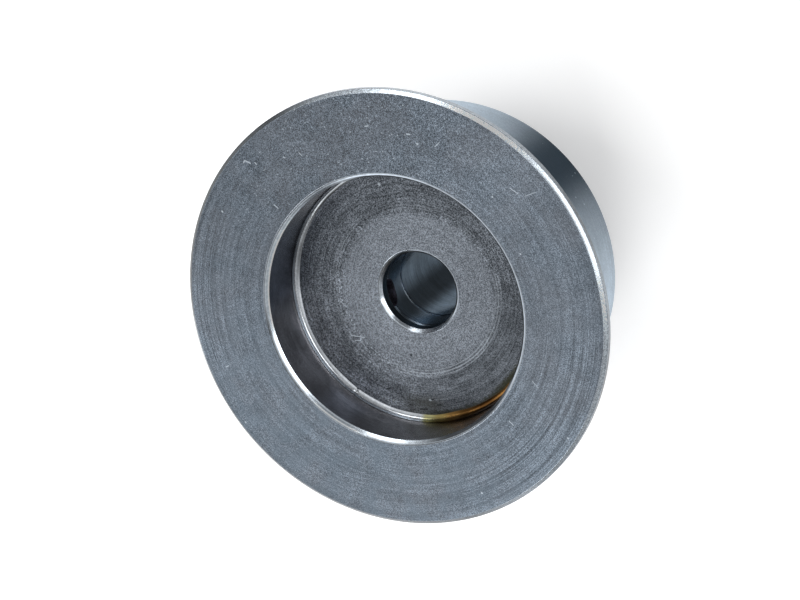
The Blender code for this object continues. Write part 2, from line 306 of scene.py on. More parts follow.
def add_loop(name, rings, makers):
    """A piece whose skin joins each ring of points to the next one, and the last to the first."""
    count = len(rings[0])
    faces = []
    for turn in range(len(rings)):
        here, ahead = turn * count, (turn + 1) % len(rings) * count
        for j in range(count):
            k = (j + 1) % count
            faces.append((here + j, ahead + j, ahead + k, here + k))
    mesh = bpy.data.meshes.new(name)
    mesh.from_pydata([point for ring in rings for point in ring], [], faces)
    return add_piece(name, mesh, makers)


def turned(name, node, body, slot, facets, makers, zone=None):
    """A CAD node's own outline spun finely with rounded edges; zone picks a finish from place and normal."""
    outline = supported(rounded(section(node), form().edge_round))
    piece = add_loop(name, [round_axis(outline, 2 * pi * turn / facets) for turn in range(facets)], makers)
    if zone:
        picks = []
        for (r, z), (r_ahead, z_ahead) in zip(outline, outline[1:] + outline[:1]):
            run = Vector((r_ahead - r, z_ahead - z)).normalized()
            picks.append(makers.index(zone((r + r_ahead) / 2, (z + z_ahead) / 2, run.y, -run.x)))
        piece.data.polygons.foreach_set("material_index", picks * facets)
    return settle(piece, body, slot, node)


def settle(obj, body, slot, *nodes):
    """Let a piece ride on its body and stand for its nodes; the slot is not used."""
    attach(obj, body)
    if nodes:
        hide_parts(*nodes)
    return obj


def apply_modifiers(obj):
    """Make the object's own mesh what its modifiers show."""
    bpy.context.view_layer.update()
    graph = bpy.context.evaluated_depsgraph_get()
    mesh = bpy.data.meshes.new_from_object(obj.evaluated_get(graph))
    obj.modifiers.clear()
    obj.data = mesh


def cut(obj, cutter):
    """Cut a piece with a closed cutter, which is then removed."""
    modifier = obj.modifiers.new("cut", "BOOLEAN")
    modifier.operation = "DIFFERENCE"
    modifier.solver = "EXACT"
    modifier.object = cutter
    apply_modifiers(obj)
    bpy.data.objects.remove(cutter, do_unlink=True)


# Shader node helpers

def add_node(tree, kind, **settings):
    """A new node with the given settings."""
    node = tree.nodes.new(kind)
    for key, value in settings.items():
        setattr(node, key, value)
    return node


def feed(socket, value):
    """Join a socket to another one, or set it to a plain value."""
    if isinstance(value, bpy.types.NodeSocket):
        socket.id_data.links.new(value, socket)
    else:
        socket.default_value = value


def fed_node(kind, *values, **settings):
    """A node whose inputs are fed in order, in the tree of the sockets among the values."""
    tree = next(value.id_data for value in values if isinstance(value, bpy.types.NodeSocket))
    node = add_node(tree, kind, **settings)
    for socket, value in zip(node.inputs, values):
        feed(socket, value)
    return node


def calc(operation, *values):
    """One Math node."""
    return fed_node("ShaderNodeMath", *values, operation=operation).outputs[0]


def plus(first, second):
    """The sum of two values."""
    return calc("ADD", first, second)


def minus(first, second):
    """The difference of two values."""
    return calc("SUBTRACT", first, second)


def times(first, second):
    """The product of two values."""
    return calc("MULTIPLY", first, second)


def over(first, second):
    """The quotient of two values."""
    return calc("DIVIDE", first, second)


def larger(first, second):
    """The larger of two values."""
    return calc("MAXIMUM", first, second)


def diagonal(first, second):
    """The distance that two values at right angles make."""
    return calc("SQRT", plus(times(first, first), times(second, second)))


def fade(value, low, high, to_low=0.0, to_high=1.0):
    """A smooth step of the value from low to high, which falls where low is the larger."""
    node = fed_node("ShaderNodeMapRange", value, low, high, to_low, to_high, interpolation_type="SMOOTHSTEP")
    return node.outputs["Result"]


def vector_calc(operation, *values):
    """One Vector Math node that gives a vector."""
    return fed_node("ShaderNodeVectorMath", *values, operation=operation).outputs["Vector"]


def vector_measure(operation, *values):
    """One Vector Math node that gives a value."""
    return fed_node("ShaderNodeVectorMath", *values, operation=operation).outputs["Value"]


def scaled(vector, factor):
    """A vector or colour times a value."""
    node = fed_node("ShaderNodeVectorMath", vector, operation="SCALE")
    feed(node.inputs["Scale"], factor)
    return node.outputs["Vector"]


def spun(vector, angle, **settings):
    """A vector turned about Z."""
    node = fed_node("ShaderNodeVectorRotate", vector, rotation_type="Z_AXIS", **settings)
    feed(node.inputs["Angle"], angle)
    return node.outputs[0]


def combine(x, y, z):
    """A vector from three values."""
    return fed_node("ShaderNodeCombineXYZ", x, y, z).outputs[0]


def split(vector):
    """The three values of a vector."""
    return fed_node("ShaderNodeSeparateXYZ", vector).outputs


def noise(vector, scale, detail, roughness):
    """Noise from 0 to 1 at a point."""
    node = fed_node("ShaderNodeTexNoise", vector)
    for label, value in (("Scale", scale), ("Detail", detail), ("Roughness", roughness)):
        feed(node.inputs[label], value)
    return node.outputs["Fac"]


def cells(vector, scale):
    """Distance to the nearest of scattered points, and three chances from 0 to 1 that are its own."""
    node = fed_node("ShaderNodeTexVoronoi", vector, feature="F1")
    feed(node.inputs["Scale"], scale)
    return node.outputs["Distance"], fed_node("ShaderNodeSeparateColor", node.outputs["Color"]).outputs


def effect(name, inputs, build):
    """A shader node group, made once; inputs holds defaults, None for a vector; build makes the outputs."""
    if name in bpy.data.node_groups:
        return bpy.data.node_groups[name]
    tree = bpy.data.node_groups.new(name, "ShaderNodeTree")
    for label, default in inputs.items():
        kind = "NodeSocketVector" if default is None else "NodeSocketFloat"
        socket = tree.interface.new_socket(name=label, in_out="INPUT", socket_type=kind)
        if default is not None:
            socket.default_value = default
    made = build(tree, tree.nodes.new("NodeGroupInput").outputs)
    for label, value in made.items():
        kind = "NodeSocketVector" if value.type == "VECTOR" else "NodeSocketFloat"
        tree.interface.new_socket(name=label, in_out="OUTPUT", socket_type=kind)
    sink = tree.nodes.new("NodeGroupOutput")
    for label, value in made.items():
        feed(sink.inputs[label], value)
    return tree


# Effects that several finishes share, all sizes in millimetres

# Fine and broad lines: how dense, how quickly they change round the axis, detail and share
LINE_LAYERS = ((1.0, 1.0, 0.6, 0.6), (0.22, 0.6, 1.0, 0.4))
# Speckle of handled steel: output, input for its size, detail, roughness, and the noise that gives 0 and 1
GRAIN_LAYERS = (
    ("Grain", "Grain Size", 0.4, 0.6, 0.30, 0.70),
    ("Fleck", "Fleck Size", 2.0, 0.6, 0.36, 0.66),
    ("Blotch", "Blotch Size", 3.0, 0.55, 0.34, 0.66),
)
SCRATCH_HEADINGS = (0.35, 1.25, 2.15, 2.9)
# How many scratches there could be for each millimetre across a heading and along the axis
SCRATCH_SIDE_DENSITY = 1.4
SCRATCH_AXIS_DENSITY = 0.35
# Where a scratch ends and where it is full, measured from its middle
SCRATCH_BORDER = 0.075
SCRATCH_CORE = 0.02
# Keeps a cosine inside the range of its inverse
BELOW_ONE = 0.99999


def turned_place():
    """Place, radius and height, and the direction from the axis."""
    def build(tree, given):
        place = scaled(add_node(tree, "ShaderNodeTexCoord").outputs["Object"], 1.0 / MM)
        x, y, height = split(place)
        radius = diagonal(x, y)
        around = combine(over(x, radius), over(y, radius), 0.0)
        return {"Place": place, "Radius": radius, "Height": height, "Around": around}
    return effect("turned_place", {}, build)


def turning_lines():
    """Feed lines of the lathe across a position, broken and varied round the axis."""
    def build(tree, given):
        x, y = split(given["Around"])[:2]
        layers = []
        for density, streak, detail, share in LINE_LAYERS:
            step = times(over(given["Position"], given["Pitch"]), density)
            side = [times(times(part, given["Break"]), streak) for part in (x, y)]
            layers.append(times(noise(combine(step, *side), 1.0, detail, 0.55), share))
        return {"Lines": fade(plus(*layers), 0.36, 0.64)}
    return effect("turning_lines", {"Position": 0.0, "Around": None, "Pitch": 0.1, "Break": 3.0}, build)


def steel_grain():
    """Fine speckle, coarser flecks and soft blotches of handled steel."""
    def build(tree, given):
        outputs = {}
        for label, size, detail, roughness, low, high in GRAIN_LAYERS:
            field = noise(given["Place"], over(1.0, given[size]), detail, roughness)
            outputs[label] = fade(field, low, high)
        return outputs
    inputs = {"Place": None, "Grain Size": 0.25, "Fleck Size": 0.8, "Blotch Size": 2.5}
    return effect("steel_grain", inputs, build)


def stray_scratches():
    """Short straight hairlines at a few headings, sparse and random."""
    def build(tree, given):
        total = None
        density = combine(over(1.0, given["Length"]), SCRATCH_SIDE_DENSITY, SCRATCH_AXIS_DENSITY)
        for heading in SCRATCH_HEADINGS:
            distance, chances = cells(vector_calc("MULTIPLY", spun(given["Place"], heading), density), 1.0)
            shown = calc("LESS_THAN", chances[0], given["Share"])
            line = times(fade(distance, SCRATCH_BORDER, SCRATCH_CORE), shown)
            total = line if total is None else larger(total, line)
        return {"Scratches": total}
    return effect("stray_scratches", {"Place": None, "Length": 9.0, "Share": 0.25}, build)


def specks():
    """Small dark pits and bright points."""
    def build(tree, given):
        distance, chances = cells(given["Place"], over(1.0, given["Spacing"]))
        reach = times(over(given["Size"], given["Spacing"]), plus(0.4, chances[2]))
        dot = fade(distance, reach, times(reach, 0.4))
        return {"Bright": times(dot, calc("LESS_THAN", chances[0], given["Bright Share"])),
                "Dark": times(dot, calc("LESS_THAN", chances[1], given["Dark Share"]))}
    inputs = {"Place": None, "Spacing": 1.2, "Size": 0.12, "Bright Share": 0.3, "Dark Share": 0.3}
    return effect("specks", inputs, build)


def ring_band():
    """A soft band round one circle of a turned piece, with ragged sides."""
    def build(tree, given):
        outward = minus(given["Radius"], given["Ring Radius"])
        upward = minus(given["Height"], given["Ring Height"])
        ragged = times(minus(noise(given["Place"], 3.0, 3.0, 0.6), 0.5), given["Ragged"])
        away = over(diagonal(outward, upward), given["Width"])
        return {"Band": fade(plus(away, ragged), 1.0, 0.35)}
    inputs = {"Place": None, "Radius": 0.0, "Height": 0.0, "Ring Radius": 10.0, "Ring Height": 0.0,
              "Width": 0.3, "Ragged": 1.0}
    return effect("ring_band", inputs, build)


def azimuth_window():
    """A soft window round the axis, its middle, half-width and softness in degrees."""
    def build(tree, given):
        middle = calc("RADIANS", given["Middle"])
        toward = combine(calc("COSINE", middle), calc("SINE", middle), 0.0)
        facing = vector_measure("DOT_PRODUCT", given["Around"], toward)
        aside = calc("DEGREES", calc("ARCCOSINE", times(facing, BELOW_ONE)))
        begins, full = plus(given["Half"], given["Soft"]), minus(given["Half"], given["Soft"])
        return {"Window": fade(aside, begins, full)}
    return effect("azimuth_window", {"Around": None, "Middle": 0.0, "Half": 30.0, "Soft": 5.0}, build)


def placed_mark():
    """One short scratch, dash or dot at a place on a face."""
    def build(tree, given):
        shifted = vector_calc("SUBTRACT", given["Place"], given["Centre"])
        along, aside = split(spun(shifted, given["Heading"], invert=True))[:2]
        beyond = larger(minus(calc("ABSOLUTE", along), times(given["Length"], 0.5)), 0.0)
        return {"Mark": fade(diagonal(beyond, aside), given["Width"], times(given["Width"], 0.3))}
    inputs = {"Place": None, "Centre": None, "Heading": 0.0, "Length": 0.5, "Width": 0.1}
    return effect("placed_mark", inputs, build)


class Coat:
    """A finish under way: colour, roughness and relief build up and then reach the shader."""

    def __init__(self, name, colour, roughness, metallic=1.0):
        self.material = bpy.data.materials.new(name)
        self.material.use_nodes = True
        self.tree = self.material.node_tree
        self.shader = self.tree.nodes["Principled BSDF"]
        self.shader.inputs["Metallic"].default_value = metallic
        self.place, self.radius, self.height, self.around = self.effect(turned_place())
        self.colour = add_node(self.tree, "ShaderNodeRGB").outputs[0]
        self.colour.default_value = (*colour, 1.0)
        self.roughness = roughness
        self.depth = None

    def effect(self, group, **values):
        """Place a node group in the material with its own values."""
        node = add_node(self.tree, "ShaderNodeGroup", node_tree=group)
        for key, value in values.items():
            feed(node.inputs[key.replace("_", " ")], value)
        return node.outputs

    def lines(self, position, pitch, breaks):
        """Mask of turning lines across a position."""
        return self.effect(turning_lines(), Position=position, Around=self.around, Pitch=pitch,
                           Break=breaks)[0]

    def grain(self, fine, fleck, blotch):
        """Masks of speckle, flecks and blotches of the given sizes."""
        return self.effect(steel_grain(), Place=self.place, Grain_Size=fine, Fleck_Size=fleck,
                           Blotch_Size=blotch)

    def band(self, radius, height, width, ragged):
        """Mask round one circle of the piece."""
        return self.effect(ring_band(), Place=self.place, Radius=self.radius, Height=self.height,
                           Ring_Radius=radius, Ring_Height=height, Width=width, Ragged=ragged)[0]

    def window(self, middle, half, soft):
        """Mask round an azimuth: its middle, half-width and softness in degrees."""
        return self.effect(azimuth_window(), Around=self.around, Middle=middle, Half=half, Soft=soft)[0]

    def marks(self, marks):
        """One mask for a list of marks on a face."""
        total = None
        for radius, azimuth, length, width, heading in marks:
            centre = (radius * cos(radians(azimuth)), radius * sin(radians(azimuth)), 0.0)
            mark = self.effect(placed_mark(), Place=self.place, Centre=centre, Heading=radians(heading),
                               Length=length, Width=width)[0]
            total = mark if total is None else larger(total, mark)
        return total

    def tint(self, mask, colour, mode="MIX"):
        """Lay a colour over the finish through a mask."""
        node = fed_node("ShaderNodeMix", mask, data_type="RGBA", blend_type=mode)
        feed(node.inputs[6], self.colour)
        feed(node.inputs[7], (*colour, 1.0))
        self.colour = node.outputs[2]

    def shade(self, mask, dark, light):
        """Scale the colour between two strengths by a mask from 0 to 1."""
        self.colour = scaled(self.colour, calc("MULTIPLY_ADD", mask, light - dark, dark))

    def contrast(self, mask, pattern, strength):
        """Bring out a pattern about its middle through a mask."""
        self.shade(times(minus(pattern, 0.5), mask), 1.0, strength)

    def stretches(self, *table, mask=None):
        """Scale the colour in stretches round the axis, each a window and the strength in its middle."""
        for middle, half, soft, strength in table:
            window = self.window(middle, half, soft)
            self.shade(window if mask is None else times(mask, window), 1.0, strength)

    def dots(self, spacing, size, bright_share, dark_share, bright=None, dark=None):
        """Bright points laid over the colour and dark pits that scale it."""
        points, pits = self.effect(specks(), Place=self.place, Spacing=spacing, Size=size,
                                   Bright_Share=bright_share, Dark_Share=dark_share)
        if bright is not None:
            self.tint(times(points, bright), finish().edge_colour)
        if dark is not None:
            self.shade(pits, 1.0, dark)

    def gloss(self, mask, roughness):
        """Pull the roughness to a value through a mask."""
        node = fed_node("ShaderNodeMix", mask, data_type="FLOAT")
        feed(node.inputs[2], self.roughness)
        feed(node.inputs[3], roughness)
        self.roughness = node.outputs[0]

    def relief(self, value, depth):
        """Add a height of up to the given millimetres."""
        raised = times(value, depth)
        self.depth = raised if self.depth is None else plus(self.depth, raised)

    def close(self):
        """Join what has been built up to the shader."""
        feed(self.shader.inputs["Base Color"], self.colour)
        feed(self.shader.inputs["Roughness"], self.roughness)
        if self.depth is not None:
            bump = add_node(self.tree, "ShaderNodeBump")
            bump.inputs["Strength"].default_value = 1.0
            bump.inputs["Distance"].default_value = MM
            feed(bump.inputs["Height"], self.depth)
            feed(self.shader.inputs["Normal"], bump.outputs[0])
        return self.material


Mark = namedtuple("Mark", "radius azimuth length width heading")

# Scratches and bright points on the flange face: radius, azimuth, length, half-width and heading
FACE_MARKS = (
    Mark(27.5, 8.4, 0.75, 0.12, 30.0),
    Mark(27.9, 9.2, 0.35, 0.11, 120.0),
    Mark(26.6, 6.9, 0.35, 0.09, 10.0),
    Mark(20.8, 12.9, 0.75, 0.09, 14.0),
    Mark(26.9, 25.9, 0.10, 0.16, 0.0),
    Mark(24.5, 314.0, 0.45, 0.12, 45.0),
    Mark(23.5, 310.7, 0.10, 0.19, 0.0),
    Mark(24.3, 304.3, 0.90, 0.07, 95.0),
    Mark(25.1, 276.8, 1.30, 0.07, 20.0),
    Mark(26.5, 273.0, 1.60, 0.05, 75.0),
    Mark(22.3, 280.4, 0.10, 0.14, 0.0),
    Mark(20.6, 258.8, 0.10, 0.13, 0.0),
    Mark(27.0, 167.7, 0.12, 0.16, 0.0),
    Mark(21.5, 191.2, 0.80, 0.07, 10.0),
    Mark(28.6, 199.6, 0.10, 0.14, 0.0),
    Mark(26.8, 74.0, 0.45, 0.09, 78.0),
    Mark(28.8, 90.3, 0.12, 0.14, 0.0),
    Mark(25.1, 327.6, 0.45, 0.11, 60.0),
    Mark(23.9, 352.6, 0.50, 0.08, 10.0),
    Mark(24.7, 358.1, 0.30, 0.09, 30.0),
    Mark(21.5, 209.2, 1.20, 0.05, 5.0),
)
# Light and dark marks on the disc and on the oil film
DISC_LIGHT_MARKS = (
    Mark(11.6, 89.9, 1.90, 0.09, 48.0),
    Mark(12.0, 92.0, 0.80, 0.08, 53.0),
    Mark(15.3, 146.2, 0.14, 0.21, 40.0),
    Mark(15.4, 340.7, 0.10, 0.24, 0.0),
    Mark(17.4, 35.3, 0.10, 0.11, 0.0),
)
DISC_DARK_MARKS = (
    Mark(9.2, 133.0, 0.10, 0.22, 0.0),
    Mark(15.44, 340.7, 0.02, 0.11, 0.0),
    Mark(15.2, 147.4, 0.35, 0.14, 60.0),
    Mark(16.65, 142.4, 0.95, 0.12, 55.0),
    Mark(15.0, 122.8, 0.60, 0.18, 70.0),
    Mark(16.0, 150.5, 0.50, 0.11, 60.0),
    Mark(16.3, 136.0, 0.55, 0.09, 48.0),
)
OIL_LIGHT_MARKS = (Mark(17.45, 108.2, 0.10, 0.14, 0.0),)
OIL_DARK_MARKS = (Mark(17.75, 109.4, 0.12, 0.13, 20.0),)

# In the finishes a window is a middle, a half-width and a softness in degrees.
# A stretch is the same three and then the strength in its middle.


def millimetres(length):
    """A frame length as the finishes count it."""
    return length / MM


# Finishes

def flange_face_steel():
    """Turned face of the flange: mottled by handling, its feed lines clearest on two sides, with painted
    shade on two sides.
    """
    coat = Coat("flange_face_steel", finish().face_colour, 0.38)
    grain, fleck, blotch = coat.grain(0.13, 0.42, 2.6)
    worn = coat.window(328, 42, 30)
    clear = larger(coat.window(55, 30, 28), coat.window(200, 40, 30))
    clear = times(clear, fade(coat.radius, 21.0, 27.0, 0.6, 1.0))
    clear = larger(clear, calc("MULTIPLY_ADD", worn, -0.32, 0.45))
    lines = times(minus(coat.lines(coat.radius, 0.17, 1.5), 0.5), clear)
    coat.shade(lines, 1.0, 1.74)
    coat.shade(grain, 0.54, 1.46)
    coat.shade(fleck, 0.93, 1.07)
    coat.contrast(worn, grain, 1.5)
    coat.contrast(worn, fleck, 1.22)
    coat.shade(blotch, 0.90, 1.09)
    # Painted shade: the face is darker round azimuths 358 and 240 and a little lighter elsewhere, as the
    # light falls on it.
    coat.shade(coat.window(358, 56, 30), 1.07, 0.77)
    coat.stretches((240, 30, 25, 0.89))
    _, cool_patch, warm_patch = coat.grain(1.6, 2.8, 5.5)
    coat.tint(times(warm_patch, 0.16), (0.180, 0.172, 0.180))
    cool = plus(0.08, times(coat.window(125, 60, 40), 0.32))
    coat.tint(times(cool_patch, cool), (0.145, 0.19, 0.235))
    handled = calc("MULTIPLY_ADD", worn, 0.65, 0.45)
    hairs = coat.effect(stray_scratches(), Place=coat.place, Length=3.4, Share=0.12)[0]
    coat.tint(times(hairs, times(handled, 0.24)), finish().edge_colour)
    coat.dots(0.52, 0.11, 0.34, 0.25, bright=times(handled, 0.34), dark=0.66)
    coat.tint(times(coat.marks(FACE_MARKS), 0.5), finish().edge_colour)
    coat.relief(lines, 0.003)
    coat.relief(grain, 0.0012)
    return coat.close()


def polished_edge(name, inner, outer):
    """A chamfer polished by use, and how far across it a point lies, from 0 inside to 1 outside."""
    coat = Coat(name, finish().edge_colour, 0.22)
    grain, fleck, _ = coat.grain(0.3, 0.9, 3.0)
    coat.shade(grain, 0.90, 1.03)
    coat.shade(fleck, 0.90, 1.03)
    coat.shade(coat.lines(coat.radius, 0.09, 2.0), 0.86, 1.05)
    coat.dots(1.1, 0.14, 0.1, 0.2, dark=0.6)
    coat.relief(fleck, 0.0015)
    return coat, over(minus(coat.radius, millimetres(inner)), millimetres(outer - inner))


def lip_edge_steel():
    """Chamfer of the recess, with painted highlights and shade: bright on the far side, a light line above a
    dark one on the near side.
    """
    coat, across = polished_edge("lip_edge_steel", recess_radius, lip_radius)
    border = fade(across, 0.66, 0.84)
    middle_line = minus(fade(across, 0.64, 0.52), fade(across, 0.36, 0.24))
    # Painted highlights and shade across the chamfer and round the axis, with a painted dark line along its
    # inner border on the near side.
    coat.shade(border, 1.0, 0.5)
    coat.stretches((0, 20, 12, 0.7), mask=border)
    coat.stretches((79, 19, 7, 0.28), (136, 9, 5, 0.36), (113, 12, 6, 1.8), mask=fade(across, 0.48, 0.66))
    coat.stretches((110, 12, 6, 0.85), (354, 14, 10, 0.45), mask=fade(across, 0.58, 0.36))
    coat.stretches((60, 62, 10, 0.82), mask=middle_line)
    coat.stretches((60, 62, 10, 1.3), mask=fade(across, 0.30, 0.18))
    coat.stretches((42, 24, 8, 1.3), (250, 92, 10, 0.9), (216, 10, 8, 0.74), (328, 20, 8, 1.1))
    coat.stretches((180, 24, 8, 0.18), mask=fade(across, 0.72, 0.58))
    coat.stretches((270, 70, 8, 0.05), mask=fade(across, 0.42, 0.28))
    coat.gloss(coat.window(270, 74, 12), 0.6)
    return coat.close()


def bore_edge_steel():
    """Chamfer of the bolt hole, with painted highlights and shade: bright on the far side, a light line
    above a dark one on the near side.
    """
    coat, across = polished_edge("bore_edge_steel", bore_radius, bore_mouth_radius)
    outer = fade(across, 0.45, 0.62)
    # Painted highlights and shade across the chamfer and round the axis, with a painted dark line along its
    # inner border on the near side.
    coat.shade(fade(across, 0.70, 0.88), 1.0, 0.5)
    coat.stretches((24, 30, 12, 1.4), (84, 11, 7, 0.45), (122, 22, 8, 1.1), mask=outer)
    coat.stretches((350, 36, 14, 0.28), (110, 18, 8, 0.46), (180, 20, 10, 0.42), mask=minus(1.0, outer))
    coat.stretches((142, 9, 8, 0.8), (262, 68, 14, 1.15))
    coat.stretches((262, 68, 14, 0.04), mask=fade(across, 0.66, 0.52))
    coat.gloss(coat.window(262, 68, 14), 0.55)
    return coat.close()


def worn_rim(name, upright):
    """Base of the two rim finishes: fine lines, small nicks and dark points."""
    coat = Coat(name, finish().rim_colour, 0.26)
    grain, fleck, _ = coat.grain(0.22, 0.6, 3.0)
    coat.shade(grain, 0.80, 1.14)
    coat.shade(fleck, 0.93, 1.05)
    coat.shade(coat.lines(coat.height if upright else coat.radius, 0.10, 2.0), 0.88, 1.08)
    coat.dots(0.7, 0.14, 0.2, 0.25, bright=0.4, dark=0.6)
    coat.relief(grain, 0.0007)
    return coat


def rim_edge_steel():
    """Chamfer of the rim: painted highlights on one side, painted shade on the other."""
    coat = worn_rim("rim_edge_steel", upright=False)
    start, end = millimetres(face_radius), millimetres(rim_radius)
    # Painted shade round azimuths 24, 120 and 184 and painted highlights round 241, 294 and 330; both
    # borders of the chamfer get painted shade that narrows the highlight.
    coat.stretches((120, 52, 12, 0.24), (24, 40, 12, 0.10), (184, 18, 14, 0.48), (241, 9, 8, 1.7),
                   (294, 14, 8, 2.0), (330, 8, 8, 1.2))
    coat.stretches((262, 14, 8, 0.42), mask=fade(coat.radius, start + 0.20, start + 0.10))
    coat.stretches((285, 58, 12, 0.40), mask=fade(coat.radius, end - 0.10, end - 0.03))
    return coat.close()


def rim_steel():
    """Rim of the flange, with painted shade all round, deepest in two stretches."""
    coat = worn_rim("rim_steel", upright=True)
    # Painted shade: the rim is darker all round, most round azimuths 264 and 192.
    coat.shade(coat.window(264, 16, 22), 0.66, 0.21)
    coat.stretches((192, 36, 16, 0.18))
    return coat.close()


def recess_wall_steel():
    """Fine turned wall of the recess, with painted shade and light round it, a lighter patch and a brown
    tint above the old oil.
    """
    coat = Coat("recess_wall_steel", finish().wall_colour, 0.26)
    lines = coat.lines(coat.height, 0.14, 2.0)
    grain, _, blotch = coat.grain(0.2, 0.7, 3.2)
    floor = millimetres(disc_height)
    coat.shade(lines, 0.88, 1.10)
    coat.shade(grain, 0.86, 1.14)
    coat.shade(blotch, 0.80, 1.18)
    # Painted shade and light: the wall is darker and bluer round azimuth 37, darker round 146 and a little
    # lighter round 90; it is also darker round 176, under the brown tint.
    coat.tint(coat.window(37.5, 20.5, 8), (0.40, 0.46, 0.57), "MULTIPLY")
    coat.stretches((90, 28, 14, 1.07), (146, 24, 14, 0.58), (176, 16, 10, 0.32))
    patch = times(coat.window(110, 8, 4), fade(coat.height, floor + 1.5, floor + 3.5))
    coat.tint(patch, (1.40, 1.46, 1.56), "MULTIPLY")
    stain = times(coat.window(amber_middle(), 26, 6), fade(coat.height, floor + 6.0, floor + 0.8))
    coat.tint(times(stain, 0.8), (0.075, 0.056, 0.026))
    coat.dots(1.3, 0.12, 0.3, 0.1, bright=0.22)
    coat.relief(lines, 0.002)
    return coat.close()


# Colour at grazing angles of steel under a thin film of oil
OILY_TINT = (0.78, 0.83, 0.87, 1.0)


def drum_steel():
    """Belt drum: smooth, with faint lines round it, painted shade and one painted dark reflection."""
    coat = Coat("drum_steel", finish().drum_colour, 0.22)
    lines = coat.lines(coat.height, 0.22, 1.5)
    grain, _, blotch = coat.grain(0.25, 0.9, 4.0)
    coat.shade(lines, 0.94, 1.06)
    coat.shade(grain, 0.93, 1.07)
    coat.shade(blotch, 0.94, 1.04)
    # Painted shade round azimuth 243, then a painted dark reflection: a dark blue band round azimuth 277,
    # darkest in its middle.
    coat.stretches((243, 12, 10, 0.80))
    for half, soft in ((21, 25), (10, 9)):
        coat.tint(coat.window(277, half, soft), (0.006, 0.015, 0.026))
    coat.dots(1.4, 0.13, 0.3, 0.15, bright=0.3)
    coat.relief(lines, 0.0012)
    coat.shader.inputs["Specular Tint"].default_value = OILY_TINT
    return coat.close()


def plain_turned_steel():
    """Turned surfaces away from the face: flange back, rear seat and collars."""
    coat = Coat("plain_turned_steel", finish().face_colour, 0.34)
    lines = coat.lines(plus(coat.radius, coat.height), 0.13, 2.0)
    grain, _, blotch = coat.grain(0.25, 0.8, 3.0)
    coat.shade(lines, 0.86, 1.14)
    coat.shade(grain, 0.88, 1.12)
    coat.shade(blotch, 0.88, 1.1)
    coat.relief(lines, 0.003)
    return coat.close()


def disc_face_steel():
    """Front disc: sparkling bolt seat, ring left by the bolt's washer, a duller zone outside it, and painted
    light and shade.
    """
    coat = Coat("disc_face_steel", finish().disc_colour, 0.38)
    grain, fleck, blotch = coat.grain(0.11, 0.34, 2.4)
    lines = coat.lines(coat.radius, 0.17, 3.0)
    wander = plus(times(minus(fleck, 0.5), 0.5), times(minus(blotch, 0.5), 0.5))
    outside = fade(plus(coat.radius, wander), 10.3, 11.9)
    coat.shade(grain, 0.50, 1.52)
    coat.shade(fleck, 0.95, 1.05)
    coat.shade(lines, 0.89, 1.11)
    # Painted light and shade: lighter round azimuth 90, darker round 246.
    coat.stretches((90, 46, 24, 1.16), (246, 36, 26, 0.86))
    coat.shade(outside, 1.0, 0.62)
    # Painted light and shade on the zone outside the washer: lighter round azimuths 98 and 130, darker round
    # 222 and 310.
    coat.stretches((98, 56, 20, 1.36), (130, 16, 14, 1.2), (222, 18, 18, 0.72), (310, 34, 20, 0.88),
                   mask=outside)
    mottled = times(outside, minus(1.0, coat.window(180, 45, 25)))
    coat.contrast(mottled, grain, 1.45)
    coat.contrast(mottled, fleck, 1.30)
    coat.contrast(outside, blotch, 0.72)
    coat.contrast(outside, lines, 1.3)
    ring = coat.band(11.4, millimetres(disc_height), 0.65, 1.1)
    coat.shade(times(ring, minus(fleck, 0.42)), 1.0, 1.6)
    # Painted reflection of the bright oil film: the disc is lighter next to it round azimuth 98.
    coat.stretches((98, 44, 12, 1.75), mask=fade(coat.radius, 15.0, 16.6))
    witness = washer_ring(coat)
    coat.tint(times(witness, 0.27), finish().edge_colour)
    coat.dots(0.45, 0.09, 0.28, 0.3, bright=0.20, dark=0.62)
    olive = times(coat.window(142, 9, 6), fade(coat.radius, 14.2, 15.8))
    coat.tint(times(olive, 0.45), (0.11, 0.11, 0.085))
    creep = plus(coat.radius, times(fleck, 0.3))
    for radius, middle, half in ((16.75, 172, 26), (16.35, 194, 12)):
        stain = times(fade(creep, radius, radius + 0.5), coat.window(middle, half, 8))
        coat.tint(times(stain, 0.75), (0.040, 0.040, 0.022))
    coat.tint(times(coat.marks(DISC_LIGHT_MARKS), 0.62), finish().edge_colour)
    coat.shade(coat.marks(DISC_DARK_MARKS), 1.0, 0.30)
    coat.relief(grain, 0.0025)
    coat.relief(lines, 0.002)
    coat.relief(witness, -0.004)
    return coat.close()


WITNESS_RADIUS = 11.8
WITNESS_SHIFT = 0.35
WITNESS_WIDTH = 0.13
WITNESS_GAP = 0.4


def washer_ring(coat):
    """Mask of the double ring that the bolt's washer left, a little off the axis."""
    centre = (WITNESS_SHIFT, 0.0, millimetres(disc_height))
    radius = vector_measure("LENGTH", vector_calc("SUBTRACT", coat.place, centre))
    aside = calc("ABSOLUTE", minus(radius, WITNESS_RADIUS))
    second = fade(calc("ABSOLUTE", minus(aside, WITNESS_GAP)), WITNESS_WIDTH, 0.02)
    pair = larger(fade(aside, WITNESS_WIDTH, 0.02), times(second, 0.6))
    patchy = fade(noise(coat.place, 0.35, 3.0, 0.6), 0.42, 0.62, 0.1, 1.0)
    return times(pair, larger(coat.window(165, 46, 20), times(patchy, 0.5)))


